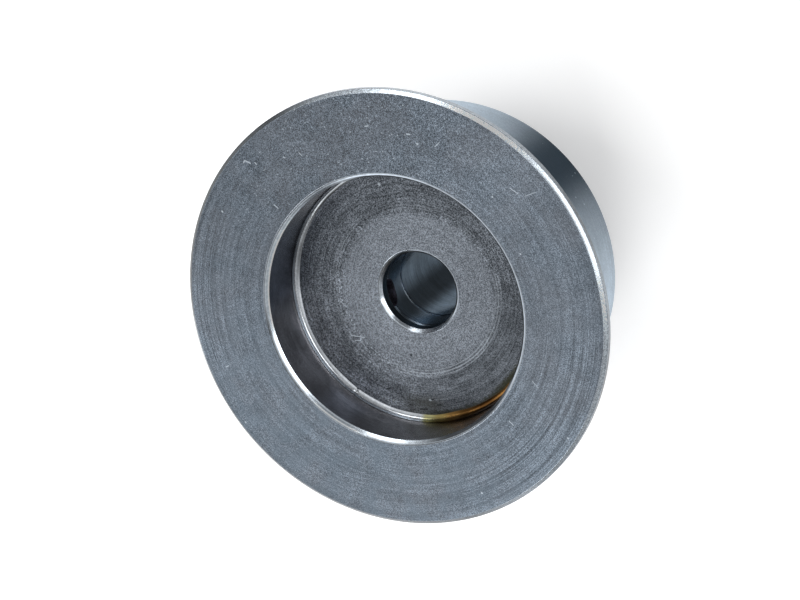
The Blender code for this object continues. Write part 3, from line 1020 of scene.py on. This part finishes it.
def bore_steel():
    """Reamed wall of the bolt hole, with fine lines round it, painted shade and light, and a painted
    highlight along the seam.
    """
    coat = Coat("bore_steel", finish().bore_colour, 0.22)
    lines = coat.lines(coat.height, 0.20, 1.2)
    grain, _, blotch = coat.grain(0.3, 0.9, 3.0)
    radius, hub, bush = millimetres(bore_radius), millimetres(hub_height), millimetres(bush_height)
    coat.shade(lines, 0.84, 1.14)
    coat.shade(grain, 0.93, 1.07)
    coat.shade(blotch, 0.8, 1.12)
    # Painted shade and light: darkest round azimuth 97 and lighter round 50 and 134, lighter below the
    # bush's top round 108, darker above the hub's top round 34 and 152, darker over the bush's front edge
    # round 112, and deep painted shade on the disc's part of the wall.
    coat.stretches((97, 22, 14, 0.17), (50, 14, 10, 1.12), (134, 14, 10, 1.7))
    coat.stretches((108, 30, 12, 1.9), mask=fade(coat.height, bush - 2.6, bush - 1.2))
    coat.stretches((34, 14, 8, 0.5), (152, 14, 8, 0.4), mask=fade(coat.height, hub + 0.1, hub + 0.6))
    coat.stretches((112, 40, 12, 0.42), mask=coat.band(radius, bush, 0.35, 0.3))
    coat.shade(fade(coat.height, bush + 0.05, bush + 0.2), 1.0, 0.24)
    # Painted highlight: a light line along the seam between hub and bush, round the far side.
    seam = times(coat.band(radius, hub, 0.2, 0.5), coat.window(80, 70, 14))
    coat.tint(times(seam, 0.5), (0.56, 0.62, 0.68))
    coat.relief(lines, 0.0018)
    coat.shader.inputs["Specular Tint"].default_value = OILY_TINT
    return coat.close()


def notch_steel():
    """Milled notch, dark with oil."""
    coat = Coat("notch_steel", (0.30, 0.28, 0.36), 0.42)
    grain, _, blotch = coat.grain(0.3, 0.7, 1.2)
    coat.shade(grain, 0.7, 1.2)
    coat.shade(blotch, 0.7, 1.3)
    coat.relief(grain, 0.005)
    return coat.close()


def ground_steel():
    """Ground and lapped bearing steel."""
    coat = Coat("ground_steel", finish().ground_colour, 0.16)
    lines = coat.lines(coat.height, 0.10, 1.5)
    blotch = coat.grain(0.3, 0.9, 2.5)[2]
    coat.shade(lines, 0.93, 1.06)
    coat.shade(blotch, 0.92, 1.05)
    coat.relief(lines, 0.0006)
    return coat.close()


def pressed_steel():
    """Pressed sheet of the cage, slightly orange-peeled."""
    coat = Coat("pressed_steel", finish().cage_colour, 0.3)
    grain, _, blotch = coat.grain(0.2, 0.6, 1.5)
    coat.shade(grain, 0.85, 1.12)
    coat.shade(blotch, 0.85, 1.1)
    coat.relief(grain, 0.004)
    return coat.close()


def moulded_rubber():
    """Matt nitrile rubber with fine flow marks and a little grease."""
    coat = Coat("moulded_rubber", finish().rubber_colour, 0.55, metallic=0.0)
    grain, _, blotch = coat.grain(0.15, 0.6, 2.0)
    coat.shade(blotch, 0.8, 1.5)
    coat.gloss(blotch, 0.38)
    coat.relief(coat.lines(coat.radius, 0.3, 1.0), 0.006)
    coat.relief(grain, 0.004)
    return coat.close()


# Old oil from its thin ends inwards: degrees from the end, softness and colour
AMBER_STEPS = (
    (0.0, 1.5, (0.40, 0.385, 0.20)),
    (5.0, 2.5, (0.26, 0.20, 0.075)),
    (11.0, 3.0, (0.17, 0.095, 0.031)),
    (17.0, 4.0, (0.058, 0.029, 0.009)),
    (26.0, 4.0, (0.020, 0.009, 0.0025)),
)


def amber_middle():
    """Azimuth of the middle of the old oil, in degrees."""
    return degrees(form().amber_start + form().amber_end) / 2


def oil():
    """Oil film: a bright clear meniscus that turns olive and then amber where old oil has gathered, with
    painted highlights and shade.
    """
    coat = Coat("oil", finish().clear_oil_colour, 0.2)
    grain, fleck, blotch = coat.grain(0.3, 0.8, 2.2)
    wall = millimetres(recess_radius)
    coat.shade(grain, 0.92, 1.06)
    coat.shade(blotch, 0.86, 1.08)
    # Painted highlights and shade: the film is lighter round azimuths 34 and 64 and darker round 350, and
    # its disc side is darker round 26 and lighter round 112.
    coat.stretches((34, 22, 10, 1.5), (64, 12, 12, 1.5), (350, 26, 10, 0.30))
    coat.stretches((26, 30, 14, 0.17), (112, 20, 10, 1.7), mask=fade(coat.radius, wall - 0.15, wall - 0.6))
    half = degrees(form().amber_end - form().amber_start) / 2
    for inward, soft, colour in AMBER_STEPS:
        coat.tint(coat.window(amber_middle(), half - inward, soft), colour)
    coat.tint(times(coat.marks(OIL_LIGHT_MARKS), 0.7), (0.72, 0.68, 0.58))
    coat.shade(coat.marks(OIL_DARK_MARKS), 1.0, 0.12)
    coat.relief(fleck, 0.004)
    return coat.close()


# Zones of the turned pieces, picked by place and outward normal

FLAT = 0.97
CLOSE = 0.1 * MM
BORE_CLOSE = 0.15 * MM
EDGE_DEPTH = 1.0 * MM
DRUM_INSIDE = 0.8 * MM
DRUM_OUTSIDE = 1.0 * MM
DRUM_END = 2.0 * MM

SHELL_COATS = (flange_face_steel, lip_edge_steel, rim_edge_steel, recess_wall_steel, drum_steel,
               plain_turned_steel, rim_steel)
DISC_COATS = (disc_face_steel, bore_edge_steel, bore_steel, plain_turned_steel)
BUSH_COATS = (bore_steel, plain_turned_steel, notch_steel)
HUB_COATS = (bore_steel, plain_turned_steel)
BEARING_COATS = (ground_steel,)
CAGE_COATS = (pressed_steel,)
SEAL_COATS = (moulded_rubber,)


def slanted(out_r, out_z):
    """Whether a normal is that of a chamfer."""
    return abs(out_r) < FLAT and abs(out_z) < FLAT


def shell_zone(r, z, out_r, out_z):
    """Finish of the shell at a place."""
    if out_z > FLAT and z > face_height - CLOSE:
        return flange_face_steel
    if slanted(out_r, out_z) and z > face_height - EDGE_DEPTH:
        return lip_edge_steel if out_r < 0 else rim_edge_steel
    if r < recess_radius + CLOSE and z > disc_height - EDGE_DEPTH:
        return recess_wall_steel
    if abs(out_r) > FLAT and r > rim_radius - CLOSE:
        return rim_steel
    if drum_radius - DRUM_INSIDE < r < drum_radius + DRUM_OUTSIDE and z < face_height - DRUM_END:
        return drum_steel
    return plain_turned_steel


def disc_zone(r, z, out_r, out_z):
    """Finish of the front disc at a place."""
    if out_z > FLAT and z > disc_height - CLOSE:
        return disc_face_steel
    if slanted(out_r, out_z) and z > disc_height - EDGE_DEPTH and r < 2 * bore_radius:
        return bore_edge_steel
    return bore_steel if r < bore_radius + CLOSE else plain_turned_steel


def bore_zone(r, z, out_r, out_z):
    """Finish of the bush and the hub at a place."""
    return bore_steel if r < bore_radius + BORE_CLOSE else plain_turned_steel


class IDLER_OT_turn_shell(bpy.types.Operator):
    """Turn the shell with its flange, drum and recess"""

    bl_idname = "idler.turn_shell"
    bl_label = "Turn the shell"

    def execute(self, context):
        facets = form().turned_facets
        turned("shell_turned", "pulley_shell", "shell", "shell_steel", facets, SHELL_COATS, shell_zone)
        return {"FINISHED"}


class IDLER_OT_turn_disc(bpy.types.Operator):
    """Turn the front disc round the bolt hole"""

    bl_idname = "idler.turn_disc"
    bl_label = "Turn the front disc"

    def execute(self, context):
        turned("disc_turned", "front_disc", "hub", "disc_steel", form().turned_facets, DISC_COATS, disc_zone)
        return {"FINISHED"}


class IDLER_OT_turn_bush(bpy.types.Operator):
    """Turn the front bush and cut its half-round notch"""

    bl_idname = "idler.turn_bush"
    bl_label = "Turn the front bush"

    def execute(self, context):
        facets = form().ring_facets
        bush = turned("bush_turned", "front_bush", "hub", "hub_steel", facets, BUSH_COATS, bore_zone)
        cut(bush, notch_cutter())
        paint_notch(bush)
        return {"FINISHED"}


NOTCH_FACETS = 72
NOTCH_CLOSE = 0.02 * MM
NOTCH_CREASE = radians(35.0)
WALL_FACING = 0.9


def notch_axis():
    """Direction of the notch and its middle at the axis."""
    azimuth = form().notch_azimuth
    return Vector((cos(azimuth), sin(azimuth), 0.0)), Vector((0.0, 0.0, bush_height))


def notch_cutter():
    """Round bar across the bush's front face that leaves half of itself there."""
    radius = form().notch_radius
    direction, middle = notch_axis()
    inner, outer = bore_radius - radius, collar_radius + radius
    turn = Vector((0.0, 0.0, 1.0)).rotation_difference(direction).to_matrix().to_4x4()
    place = Matrix.Translation(middle + direction * (inner + outer) / 2)
    bm = bmesh.new()
    bmesh.ops.create_cone(bm, cap_ends=True, segments=NOTCH_FACETS, radius1=radius, radius2=radius,
                          depth=outer - inner, matrix=place @ turn)
    return add_solid("notch_cutter", bm, ())


def paint_notch(bush):
    """Give the notch's wall its own finish and keep its edges crisp."""
    direction, middle = notch_axis()
    for face in bush.data.polygons:
        across = face.center - middle
        along = across.dot(direction)
        away = across - direction * along
        if along > 0 and away.length < form().notch_radius + NOTCH_CLOSE:
            if abs(face.normal.dot(away.normalized())) > WALL_FACING:
                face.material_index = BUSH_COATS.index(notch_steel)
    bush.data.set_sharp_from_angle(angle=NOTCH_CREASE)


class IDLER_OT_turn_hub(bpy.types.Operator):
    """Turn the rear hub with its collar and seat"""

    bl_idname = "idler.turn_hub"
    bl_label = "Turn the rear hub"

    def execute(self, context):
        turned("hub_turned", "rear_hub", "hub", "hub_steel", form().ring_facets, HUB_COATS, bore_zone)
        return {"FINISHED"}


class IDLER_OT_grind_rings(bpy.types.Operator):
    """Grind the bearing's two rings"""

    bl_idname = "idler.grind_rings"
    bl_label = "Grind the bearing rings"

    def execute(self, context):
        for name, node, body in (("outer_ring_ground", "bearing_outer_ring", "shell"),
                                 ("inner_ring_ground", "bearing_inner_ring", "hub")):
            turned(name, node, body, "bearing_steel", form().ring_facets, BEARING_COATS)
        return {"FINISHED"}


class IDLER_OT_lap_balls(bpy.types.Operator):
    """Lap the balls"""

    bl_idname = "idler.lap_balls"
    bl_label = "Lap the balls"

    def execute(self, context):
        for index in range(1, ball_count + 1):
            node = "ball_%d" % index
            low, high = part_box(node)
            bm = bmesh.new()
            bmesh.ops.create_icosphere(bm, subdivisions=5, radius=(high.z - low.z) / 2,
                                       matrix=Matrix.Translation((low + high) / 2))
            ball = add_solid("ball_lapped_%d" % index, bm, BEARING_COATS)
            settle(ball, node, "bearing_steel", node)
        return {"FINISHED"}


class IDLER_OT_press_cage(bpy.types.Operator):
    """Press the two halves of the ribbon cage"""

    bl_idname = "idler.press_cage"
    bl_label = "Press the cage"

    def execute(self, context):
        for name, node, side in (("cage_front_pressed", "cage_front_half", 1),
                                 ("cage_rear_pressed", "cage_rear_half", -1)):
            settle(cage_half(name, node, side), "cage", "cage_steel", node)
        return {"FINISHED"}


POCKET_STEPS = 28
BRIDGE_SHARES = (0.25, 0.5, 0.75)
CAGE_CREASE = radians(40.0)
BEVELLED_FROM = radians(50.0)


def cage_half(name, node, side):
    """A ribbon bent round each ball, its sizes read from its CAD node."""
    flat, reach = sorted(abs(corner.z - bearing_middle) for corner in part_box(node))
    sheet = form().cage_sheet
    bend = reach - sheet
    distances = [hypot(v.co.x, v.co.y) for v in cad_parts[node].data.vertices]
    inner, outer = min(distances), max(distances)
    foot = sqrt(reach**2 - (flat + sheet)**2)
    turns = [-pi / 2 + pi * step / POCKET_STEPS for step in range(POCKET_STEPS + 1)]
    offsets = [-foot] + [bend * sin(turn) for turn in turns] + [foot]
    gap = 2 * pi / ball_count - 2 * asin(foot / pitch_radius)
    rings = []
    for ball in range(ball_count):
        middle = 2 * pi * ball / ball_count
        stations = [(middle + asin(offset / pitch_radius), offset) for offset in offsets]
        stations += [(stations[-1][0] + gap * share, foot) for share in BRIDGE_SHARES]
        for angle, offset in stations:
            inside = max(flat, sqrt(max(0.0, bend**2 - offset**2)))
            outside = max(flat + sheet, sqrt(max(0.0, reach**2 - offset**2)))
            corners = ((inner, inside), (outer, inside), (outer, outside), (inner, outside))
            rings.append(round_axis([(r, bearing_middle + side * z) for r, z in corners[::side]], angle))
    half = add_loop(name, rings, CAGE_COATS)
    cut(half, rivet_drills())
    bevel = half.modifiers.new("edge", "BEVEL")
    bevel.width = form().edge_round
    bevel.segments = 2
    bevel.limit_method = "ANGLE"
    bevel.angle_limit = BEVELLED_FROM
    apply_modifiers(half)
    half.data.shade_smooth()
    half.data.set_sharp_from_angle(angle=CAGE_CREASE)
    return half


RIVET_FACETS = 32
RIVET_CREASE = radians(50.0)
DRILL_DEPTH = 3.0 * MM
DRILL_CLEARANCE = 0.1 * MM
HEAD_HEIGHT = 0.4 * MM
DOME_STEPS = 8
DOME_EDGE = 0.35
MERGE = 0.001 * MM


def own_circles(node):
    """Centre of a small turned node and the radii of its circles, largest last."""
    low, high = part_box(node)
    centre = (low + high) / 2
    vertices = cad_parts[node].data.vertices
    return centre, sorted({round(hypot(v.co.x - centre.x, v.co.y - centre.y), 6) for v in vertices})


def rivet_drills():
    """One drill through the cage for each rivet."""
    bm = bmesh.new()
    for index in range(1, ball_count + 1):
        centre, circles = own_circles("cage_rivet_%d" % index)
        radius = circles[-2] + DRILL_CLEARANCE
        bmesh.ops.create_cone(bm, cap_ends=True, segments=RIVET_FACETS, radius1=radius, radius2=radius,
                              depth=DRILL_DEPTH, matrix=Matrix.Translation(centre))
    return add_solid("rivet_drills", bm, ())


class IDLER_OT_set_rivets(bpy.types.Operator):
    """Set the rivets, each with two domed heads"""

    bl_idname = "idler.set_rivets"
    bl_label = "Set the rivets"

    def execute(self, context):
        for index in range(1, ball_count + 1):
            node = "cage_rivet_%d" % index
            centre, circles = own_circles(node)
            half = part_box(node)[1].z - centre.z
            foot = half - HEAD_HEIGHT
            below, above = (dome(circles[-1], foot, centre.z, side) for side in (-1, 1))
            outline = [(0.0, centre.z - half), *below, (circles[-2], centre.z - foot),
                       (circles[-2], centre.z + foot), *above[::-1], (0.0, centre.z + half)]
            rivet = spindle("rivet_%d" % index, outline, centre)
            settle(rivet, "cage", "cage_steel", node)
        return {"FINISHED"}


def dome(radius, foot, middle, side):
    """Outline of a rivet's domed head from near its top down to its foot, over or under the middle."""
    points = []
    for step in range(1, DOME_STEPS + 1):
        turn = step / DOME_STEPS * pi / 2
        height = HEAD_HEIGHT * (DOME_EDGE + (1 - DOME_EDGE) * cos(turn))
        points.append((radius * sin(turn), middle + side * (foot + height)))
    points.append((radius, middle + side * foot))
    return points


def spindle(name, outline, centre):
    """Spin an open outline whose ends lie on the axis."""
    bm = bmesh.new()
    verts = [bm.verts.new((centre.x + r, centre.y, z)) for r, z in outline]
    edges = [bm.edges.new(pair) for pair in zip(verts, verts[1:])]
    bmesh.ops.spin(bm, geom=verts + edges, cent=(centre.x, centre.y, 0.0), axis=(0, 0, 1), dvec=(0, 0, 0),
                   angle=2 * pi, steps=RIVET_FACETS, use_merge=True, use_duplicate=False)
    bmesh.ops.remove_doubles(bm, verts=bm.verts, dist=MERGE)
    bmesh.ops.recalc_face_normals(bm, faces=bm.faces)
    piece = add_solid(name, bm, CAGE_COATS)
    piece.data.set_sharp_from_angle(angle=RIVET_CREASE)
    return piece


class IDLER_OT_mould_seals(bpy.types.Operator):
    """Mould the two rubber seals"""

    bl_idname = "idler.mould_seals"
    bl_label = "Mould the seals"

    def execute(self, context):
        for node in ("front_seal", "rear_seal"):
            turned(node + "_moulded", node, "shell", "seal_rubber", form().ring_facets, SEAL_COATS)
        return {"FINISHED"}


class IDLER_OT_lay_oil_film(bpy.types.Operator):
    """Lay the film of oil in the corner of the recess"""

    bl_idname = "idler.lay_oil_film"
    bl_label = "Lay the oil film"

    def execute(self, context):
        settle(oil_film(), "hub", "disc_steel")
        return {"FINISHED"}


FILM_FACETS = 720
FILM_STEPS = 12
FILM_SINK = 0.02 * MM
FILM_CREASE = radians(60.0)
# Waves in the film's height round the recess: share of the height, count and shift
FILM_WAVES = ((0.05, 3, 0.6), (0.035, 7, 2.0), (0.02, 19, 0.0))
AMBER_SWELL = 0.35
AMBER_LEAD = radians(12.0)
AMBER_SOFT = radians(16.0)
NICK_DEPTH = 0.3
NICK_HALF = radians(0.4)


def film_height(azimuth):
    """How far the film creeps at an azimuth: thicker where it is amber, thinner at the nick."""
    waves = sum(share * sin(count * azimuth + shift) for share, count, shift in FILM_WAVES)
    amber = smooth_window(azimuth, form().amber_start + AMBER_LEAD, form().amber_end, AMBER_SOFT)
    aside = (azimuth - form().film_nick) / NICK_HALF
    nick = NICK_DEPTH / (1.0 + aside**4)
    return form().film_size * (1.0 + waves) * (1.0 + AMBER_SWELL * amber) * (1.0 - nick)


def smooth_window(angle, start, end, soft):
    """1 between two angles and 0 outside, with soft ends."""
    def step(value):
        value = min(1.0, max(0.0, value))
        return value * value * (3 - 2 * value)
    return step((angle - start) / soft + 0.5) * step((end - angle) / soft + 0.5)


def oil_film():
    """Concave fillet of oil between the disc and the recess wall."""
    wall = recess_radius - form().film_gap
    floor = disc_height - FILM_SINK
    rings = []
    for facet in range(FILM_FACETS):
        angle = 2 * pi * facet / FILM_FACETS
        size = film_height(angle)
        outline = [(wall, floor), (wall, disc_height + size)]
        for step in range(1, FILM_STEPS):
            bend = pi / 2 * step / FILM_STEPS
            outline.append((wall - size + size * cos(bend), disc_height + size - size * sin(bend)))
        outline.append((wall - size, floor))
        rings.append(round_axis(outline, angle))
    film = add_loop("oil_film", rings, (oil,))
    film.data.set_sharp_from_angle(angle=FILM_CREASE)
    return film


class IDLER_OT_set_stage(bpy.types.Operator):
    """Set the floor, the lamps, the sky and the camera"""

    bl_idname = "idler.set_stage"
    bl_label = "Set the stage"

    def execute(self, context):
        stage = context.scene.idler_stage
        lay_floor(stage)
        hang_lamps(context.scene, stage)
        light_sky(context.scene, stage)
        aim_camera(context.scene, stage)
        context.scene.view_settings.view_transform = "Standard"
        return {"FINISHED"}


FLOOR_ALBEDO = 0.86
FLOOR_LIFT = 0.28
FLOOR_DROP = 0.02 * MM


def floor_paint():
    """Matt pale paint that camera, mirrored and transmitted rays see a little brighter."""
    material = bpy.data.materials.new("floor_paint")
    material.use_nodes = True
    inputs = material.node_tree.nodes["Principled BSDF"].inputs
    inputs["Base Color"].default_value = (FLOOR_ALBEDO, FLOOR_ALBEDO, FLOOR_ALBEDO, 1.0)
    inputs["Roughness"].default_value = 0.9
    inputs["Specular IOR Level"].default_value = 0.0
    inputs["Emission Color"].default_value = (1.0, 1.0, 1.0, 1.0)
    path = add_node(material.node_tree, "ShaderNodeLightPath").outputs
    seen = larger(larger(path["Is Camera Ray"], path["Is Glossy Ray"]), path["Is Transmission Ray"])
    feed(inputs["Emission Strength"], times(seen, FLOOR_LIFT))
    return material


def lay_floor(stage):
    """A plain pale floor that keeps the pulley's shadow."""
    bm = bmesh.new()
    bmesh.ops.create_grid(bm, x_segments=8, y_segments=8, size=stage.floor_size / 2)
    floor = add_solid("floor", bm, (floor_paint,))
    floor.location.z = -FLOOR_DROP


FAR = 0.8
NEAR = 0.34
NARROW_SHARE = 0.6


def hang_lamps(scene, stage):
    """A near key, two low boxes that the chamfers mirror, and two behind that leave the front in shade."""
    centre = Vector((0.0, 0.0, face_height))
    # Each lamp's name, power, azimuth, elevation, width, height and distance
    lamps = (
        ("key_lamp", stage.key_lamp, 128.0, 58.0, 0.2, 0.2, NEAR),
        ("wide_edge_lamp", stage.edge_lamp, 258.0, 28.0, 0.56, 0.26, FAR),
        ("narrow_edge_lamp", stage.edge_lamp * NARROW_SHARE, 338.0, 20.0, 0.28, 0.26, FAR),
        ("left_rear_lamp", stage.rear_lamp, 138.0, 30.0, 0.6, 0.35, FAR),
        ("right_rear_lamp", stage.rear_lamp, 44.0, 30.0, 0.6, 0.35, FAR),
    )
    for name, power, azimuth, elevation, width, height, distance in lamps:
        data = bpy.data.lights.new(name, "AREA")
        data.shape = "RECTANGLE"
        data.size, data.size_y = width, height
        data.energy = power
        lamp = bpy.data.objects.new(name, data)
        turn, rise = radians(azimuth), radians(elevation)
        direction = Vector((cos(turn) * cos(rise), sin(turn) * cos(rise), sin(rise)))
        lamp.location = centre + direction * distance
        lamp.rotation_mode = "QUATERNION"
        lamp.rotation_quaternion = direction.to_track_quat("Z", "Y")
        scene.collection.objects.link(lamp)


# Direction of the glow's middle, and the closeness to it at which it begins and is full
GLOW_DIRECTION = (0.0, 0.5, 0.866)
GLOW_EDGE = 0.42
GLOW_FULL = 0.9


def light_sky(scene, stage):
    """A dim dome with a wide soft glow high behind the pulley."""
    world = bpy.data.worlds.new("soft_sky")
    world.use_nodes = True
    scene.world = world
    inputs = world.node_tree.nodes["Background"].inputs
    direction = add_node(world.node_tree, "ShaderNodeTexCoord").outputs["Generated"]
    toward = vector_measure("DOT_PRODUCT", direction, GLOW_DIRECTION)
    feed(inputs["Strength"], fade(toward, GLOW_EDGE, GLOW_FULL, stage.sky_low, stage.sky_high))
    inputs["Color"].default_value = (1.0, 1.0, 1.0, 1.0)


def aim_camera(scene, stage):
    """A long lens at the photograph's angle, rolled as the photograph is."""
    rise, roll = stage.camera_elevation, stage.camera_roll
    back = Vector((0.0, -cos(rise), sin(rise)))
    level = Vector((1.0, 0.0, 0.0))
    right = level * cos(roll) + back.cross(level) * sin(roll)
    up = back.cross(right)
    data = bpy.data.cameras.new("camera")
    data.sensor_width = 36.0
    data.lens = stage.camera_lens
    data.clip_start, data.clip_end = 0.01, 20.0
    camera = bpy.data.objects.new("camera", data)
    place = Vector((0.0, 0.0, face_height)) + back * stage.camera_distance
    place += up * stage.camera_down - right * stage.camera_right
    camera.matrix_world = Matrix.Translation(place) @ Matrix((right, up, back)).transposed().to_4x4()
    scene.collection.objects.link(camera)
    scene.camera = camera


STEPS = (
    IDLER_OT_turn_shell, IDLER_OT_turn_disc, IDLER_OT_turn_bush, IDLER_OT_turn_hub, IDLER_OT_grind_rings,
    IDLER_OT_lap_balls, IDLER_OT_press_cage, IDLER_OT_set_rivets, IDLER_OT_mould_seals,
    IDLER_OT_lay_oil_film, IDLER_OT_set_stage,
)


class IDLER_PT_pieces(bpy.types.Panel):
    """Pieces, sizes and colours of the idler"""

    bl_idname = "IDLER_PT_pieces"
    bl_label = "Idler"
    bl_space_type = "VIEW_3D"
    bl_region_type = "UI"
    bl_category = "Idler"

    def draw(self, context):
        layout = self.layout
        for step in STEPS:
            layout.operator(step.bl_idname)
        for group in (context.scene.idler_form, context.scene.idler_finish, context.scene.idler_stage):
            box = layout.box()
            for name in group.__annotations__:
                box.prop(group, name)


CLASSES = (IdlerForm, IdlerFinish, IdlerStage, *STEPS, IDLER_PT_pieces)


def register():
    for cls in CLASSES:
        bpy.utils.register_class(cls)
    bpy.types.Scene.idler_form = PointerProperty(type=IdlerForm)
    bpy.types.Scene.idler_finish = PointerProperty(type=IdlerFinish)
    bpy.types.Scene.idler_stage = PointerProperty(type=IdlerStage)


def unregister():
    del bpy.types.Scene.idler_stage
    del bpy.types.Scene.idler_finish
    del bpy.types.Scene.idler_form
    for cls in reversed(CLASSES):
        bpy.utils.unregister_class(cls)


def main():
    """Make every piece and the stage."""
    register()
    for step in STEPS:
        group, name = step.bl_idname.split(".")
        getattr(getattr(bpy.ops, group), name)()


if __name__ == "__main__":
    main()
